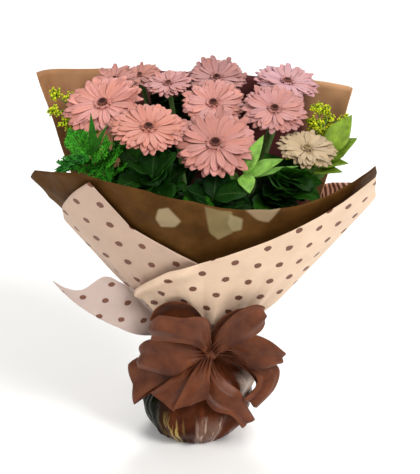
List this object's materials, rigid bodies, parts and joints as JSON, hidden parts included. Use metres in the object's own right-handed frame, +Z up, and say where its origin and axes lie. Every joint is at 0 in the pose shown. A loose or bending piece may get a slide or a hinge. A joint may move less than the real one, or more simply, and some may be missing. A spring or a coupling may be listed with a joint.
{
  "type": "mixed flower bouquet",
  "caption": "Hand-tied gerbera bouquet with greenery in kraft and dotted paper, gathered under a wide satin bow, standing on a film-wrapped foot.",
  "frame": {"origin": "centre of the flat underside of the wrapped foot, on the surface it stands on", "axes": "+Z up along the stems, -Y the front with the bow, +X to the right as seen from the front"},
  "size_m": [0.3635, 0.2616, 0.4116],
  "materials": {
    "kraft_paper": "plain matt kraft",
    "kraft_collar": "waxed kraft, crumpled, with a slight shine",
    "dotted_paper": "matt pale pink with printed brown dots",
    "film": "clear brown film, glossy",
    "sponge": "soaked foam",
    "stem_tie": "twine",
    "satin_ribbon": "satin",
    "petals_pink": "soft petal",
    "petals_cream": "soft petal",
    "eye": "velvety disc florets",
    "stem_green": "green stem",
    "leaf_dark": "satin leaf",
    "leaf_mid": "satin leaf",
    "leaf_light": "satin leaf",
    "fern": "matt frond",
    "filler": "tiny matt blossoms"
  },
  "bodies": {
    "root": {"dark_leaves_back": "leaf_dark", "dark_leaves_centre": "leaf_dark", "dark_leaves_left": "leaf_dark", "dark_leaves_right": "leaf_dark", "dotted_paper_left": "dotted_paper", "dotted_paper_right": "dotted_paper", "dotted_paper_tail": "dotted_paper", "fern_left": "fern", "filler_left": "filler", "filler_right": "filler", "foot_film": "film", "gerbera_10_eye": "eye", "gerbera_10_petals": "petals_cream", "gerbera_10_stem": "stem_green", "gerbera_11_eye": "eye", "gerbera_11_petals": "petals_pink", "gerbera_11_stem": "stem_green", "gerbera_1_eye": "eye", "gerbera_1_petals": "petals_pink", "gerbera_1_stem": "stem_green", "gerbera_2_eye": "eye", "gerbera_2_petals": "petals_pink", "gerbera_2_stem": "stem_green", "gerbera_3_eye": "eye", "gerbera_3_petals": "petals_pink", "gerbera_3_stem": "stem_green", "gerbera_4_eye": "eye", "gerbera_4_petals": "petals_pink", "gerbera_4_stem": "stem_green", "gerbera_5_eye": "eye", "gerbera_5_petals": "petals_pink", "gerbera_5_stem": "stem_green", "gerbera_6_eye": "eye", "gerbera_6_petals": "petals_pink", "gerbera_6_stem": "stem_green", "gerbera_7_eye": "eye", "gerbera_7_petals": "petals_pink", "gerbera_7_stem": "stem_green", "gerbera_8_eye": "eye", "gerbera_8_petals": "petals_pink", "gerbera_8_stem": "stem_green", "gerbera_9_eye": "eye", "gerbera_9_petals": "petals_pink", "gerbera_9_stem": "stem_green", "kraft_back": "kraft_paper", "kraft_collar": "kraft_collar", "leafy_stem_right": "leaf_mid", "light_leaves": "leaf_light", "ribbon_band": "satin_ribbon", "ribbon_bow": "satin_ribbon", "stem_tie": "stem_tie", "water_pack": "sponge"}
  },
  "joints": []
}
